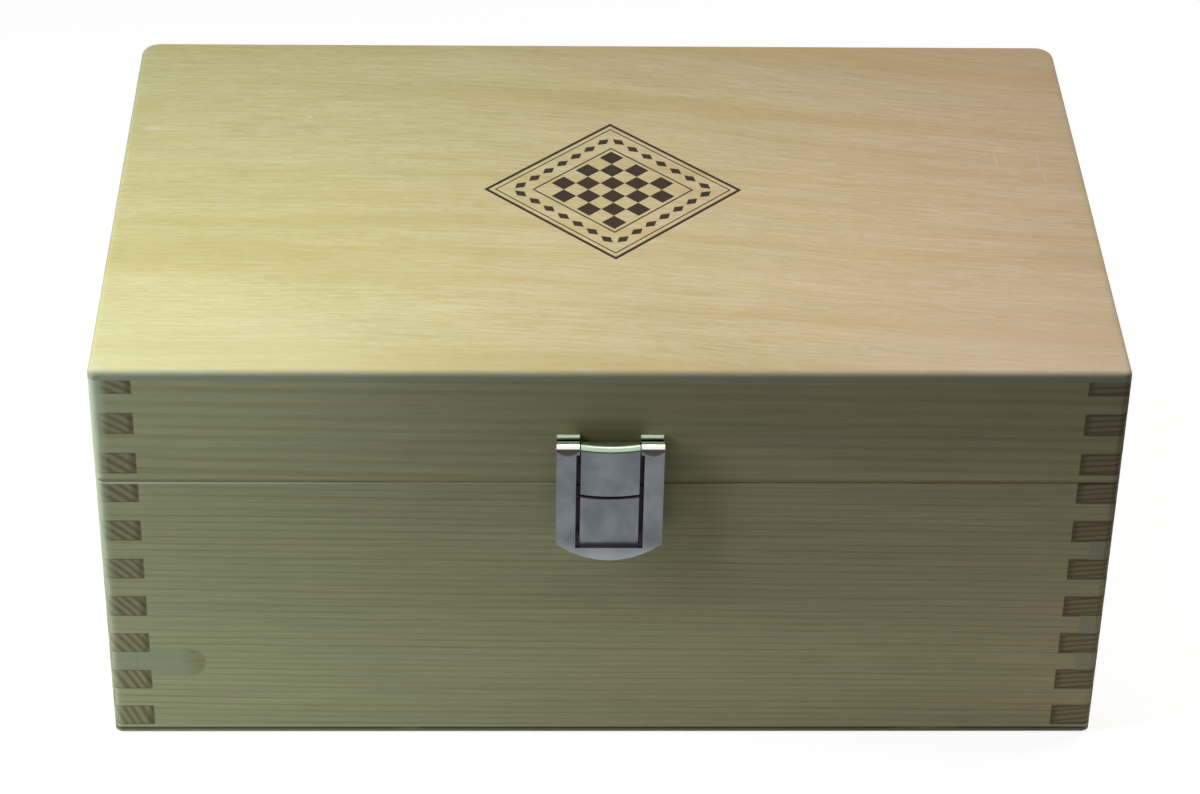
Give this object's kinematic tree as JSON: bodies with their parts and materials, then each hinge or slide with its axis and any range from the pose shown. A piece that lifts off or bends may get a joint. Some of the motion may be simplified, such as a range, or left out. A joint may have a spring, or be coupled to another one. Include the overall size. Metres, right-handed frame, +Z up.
{
  "type": "hinged wooden game box",
  "caption": "Box-jointed pine box for chess pieces, sawn into a base and a hinged lid that a duck-bill clasp holds shut.",
  "frame": {"origin": "middle of the wooden box's underside, on the surface that it stands on", "axes": "+X along the front to the right, +Y from the front to the hinged back, +Z up"},
  "size_m": [0.28, 0.1895, 0.126],
  "materials": {
    "pine": "sanded, thin clear lacquer",
    "veneer_panel": "sanded veneered plywood, thin clear lacquer",
    "nickel": "satin nickel plate",
    "steel": "bright zinc plate"
  },
  "bodies": {
    "base": {"base_front_board": "pine", "base_back_board": "pine", "base_left_board": "pine", "base_right_board": "pine", "base_bottom_panel": "veneer_panel", "left_hinge_base_leaf": "nickel", "right_hinge_base_leaf": "nickel", "left_hinge_pin": "steel", "right_hinge_pin": "steel", "hinge_base_screws": "steel", "clasp_catch_plate": "nickel", "clasp_catch_nails": "nickel"},
    "lid": {"lid_front_board": "pine", "lid_back_board": "pine", "lid_left_board": "pine", "lid_right_board": "pine", "lid_top_panel": "veneer_panel", "left_hinge_lid_leaf": "nickel", "right_hinge_lid_leaf": "nickel", "hinge_lid_screws": "steel", "clasp_lid_plate": "nickel", "clasp_lid_nails": "nickel", "clasp_pin": "nickel"},
    "flap": {"clasp_flap": "nickel"}
  },
  "joints": [
    {"name": "lid_hinge", "type": "hinge", "parent": "base", "child": "lid", "pos_m": [0, 0.0913, 0.0894], "axis": [-1, 0, 0], "range_deg": [0, 180]},
    {"name": "clasp_flap_hinge", "type": "hinge", "parent": "lid", "child": "flap", "pos_m": [0, -0.0925, 0.1033], "axis": [-1, 0, 0], "range_deg": [0, 180]}
  ]
}
